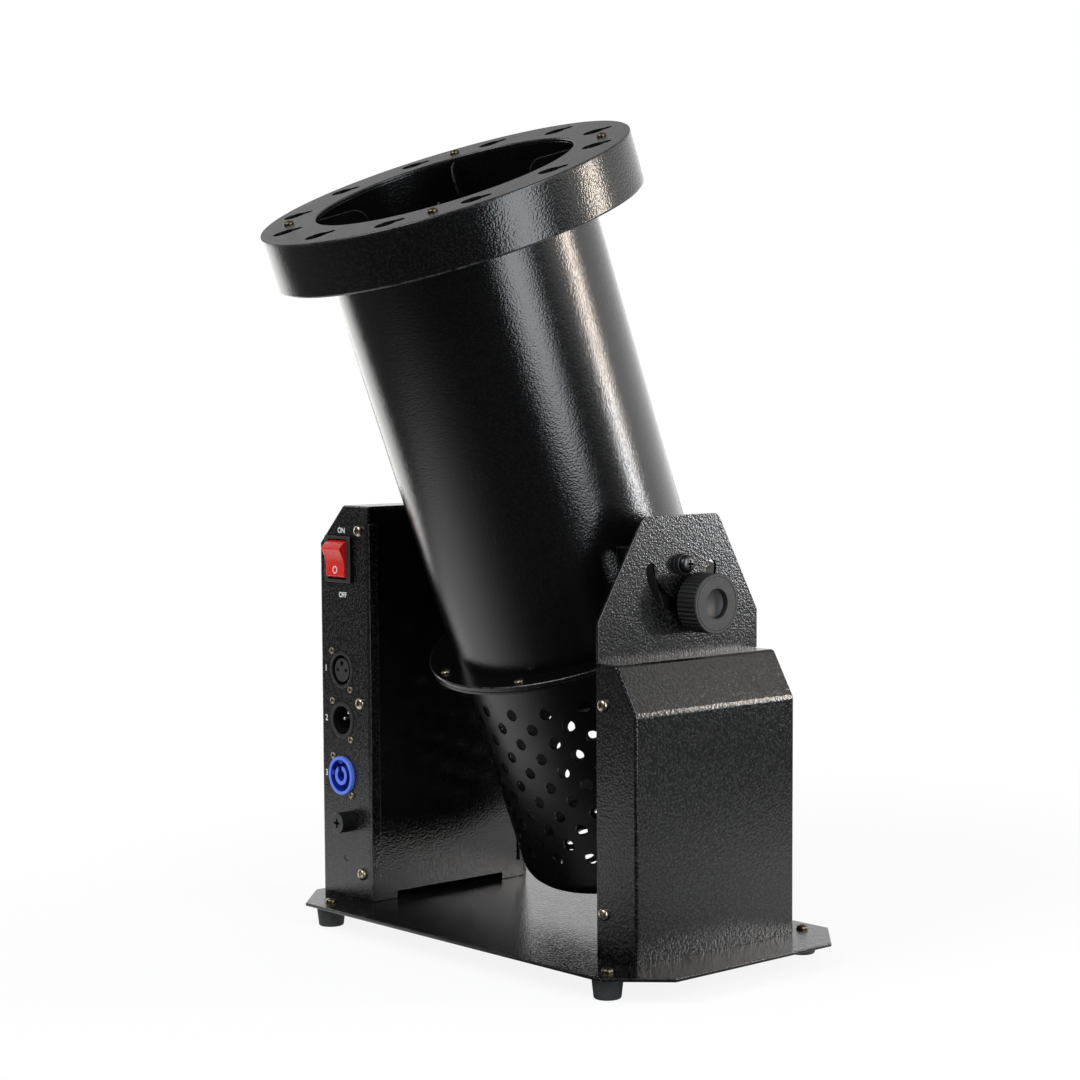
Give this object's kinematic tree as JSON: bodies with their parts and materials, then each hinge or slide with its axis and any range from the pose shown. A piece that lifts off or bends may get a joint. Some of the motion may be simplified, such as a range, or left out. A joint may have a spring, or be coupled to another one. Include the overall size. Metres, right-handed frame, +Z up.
{
  "type": "confetti blower",
  "caption": "Floor-standing confetti blower: a fan barrel with keyholed mouth ring and perforated intake cage, tilting on a yoke between a control column and a covered arm.",
  "frame": {"origin": "centre of the base plate's underside", "axes": "+X from the control column to the covered arm, +Y from front to back, +Z up; the feet reach below the origin"},
  "size_m": [0.34, 0.3371, 0.507],
  "materials": {
    "powder_coat": "gloss black, fine texture",
    "nickel_screws": "nickel plated",
    "feet_rubber": "matte",
    "black_plastic": "satin",
    "black_steel": "blackened",
    "red_plastic": "gloss",
    "blue_plastic": "satin",
    "fuse_glass": "clear",
    "board": "satin",
    "heat_sink": "anodised",
    "motor_paint": "satin",
    "knob_plastic": "matte",
    "bare_steel": "bright"
  },
  "bodies": {
    "stand": {"base_plate": "powder_coat", "foot_1": "feet_rubber", "foot_2": "feet_rubber", "foot_3": "feet_rubber", "foot_4": "feet_rubber", "foot_bolt_1": "nickel_screws", "foot_bolt_2": "nickel_screws", "foot_bolt_3": "nickel_screws", "foot_bolt_4": "nickel_screws", "control_upright": "powder_coat", "control_cover": "powder_coat", "control_screw_front_1": "nickel_screws", "control_screw_front_2": "nickel_screws", "control_screw_front_3": "nickel_screws", "control_screw_back_1": "nickel_screws", "control_screw_back_2": "nickel_screws", "arm_screw_front_1": "nickel_screws", "arm_screw_front_2": "nickel_screws", "arm_screw_back_1": "nickel_screws", "arm_screw_back_2": "nickel_screws", "rocker_bezel": "black_plastic", "signal_out_socket": "black_plastic", "signal_in_socket": "black_plastic", "power_inlet": "blue_plastic", "fuse_holder": "black_plastic", "control_board": "board", "motor_driver": "heat_sink", "arm_upright": "powder_coat", "arm_cover": "powder_coat", "pivot_bush_left": "black_plastic", "pivot_bush_right": "black_plastic"},
    "barrel": {"barrel_tube": "powder_coat", "barrel_flange": "powder_coat", "mouth_ring": "powder_coat", "mouth_plate": "powder_coat", "mouth_screw_1": "nickel_screws", "mouth_screw_2": "nickel_screws", "mouth_screw_3": "nickel_screws", "mouth_screw_4": "nickel_screws", "mouth_vane_1": "powder_coat", "mouth_vane_2": "powder_coat", "mouth_vane_3": "powder_coat", "mouth_vane_4": "powder_coat", "intake_cage": "powder_coat", "motor_mount": "bare_steel", "motor_housing": "motor_paint", "motor_bearing_upper": "bare_steel", "motor_bearing_lower": "bare_steel", "pivot_bracket_left": "powder_coat", "pivot_bracket_right": "powder_coat", "pivot_screw_left": "bare_steel", "pivot_screw_right": "black_steel", "pivot_collar": "black_steel", "lock_washer": "bare_steel"},
    "rotor": {"motor_shaft": "bare_steel", "impeller": "black_plastic"},
    "knob": {"lock_knob": "knob_plastic"},
    "switch_rocker": {"rocker": "red_plastic"},
    "fuse_carrier": {"fuse": "fuse_glass"},
    "fuse_cap_body": {"fuse_cap": "black_plastic"}
  },
  "joints": [
    {"name": "barrel_tilt", "type": "hinge", "parent": "stand", "child": "barrel", "pos_m": [-0.0037, 0.0034, 0.2275], "axis": [1, 0, 0], "range_deg": [-104, 61]},
    {"name": "fan_spin", "type": "hinge", "parent": "barrel", "child": "rotor", "pos_m": [-0.0037, 0.0034, 0.2275], "axis": [0, -0.3649, 0.9311], "continuous": true},
    {"name": "knob_turn", "type": "hinge", "parent": "barrel", "child": "knob", "pos_m": [0.11, 0.01245, 0.20441], "axis": [1, 0, 0], "range_deg": [0, 360]},
    {"name": "rocker_press", "type": "hinge", "parent": "stand", "child": "switch_rocker", "pos_m": [-0.1402, -0.0608, 0.2216], "axis": [-1, 0, 0], "range_deg": [0, 24]},
    {"name": "fuse_pull", "type": "slide", "parent": "stand", "child": "fuse_carrier", "axis": [0, -1, 0], "range_m": [0, 0.03]},
    {"name": "fuse_cap_turn", "type": "hinge", "parent": "fuse_carrier", "child": "fuse_cap_body", "pos_m": [-0.133, -0.0632, 0.052], "axis": [0, -1, 0], "range_deg": [0, 90]}
  ]
}
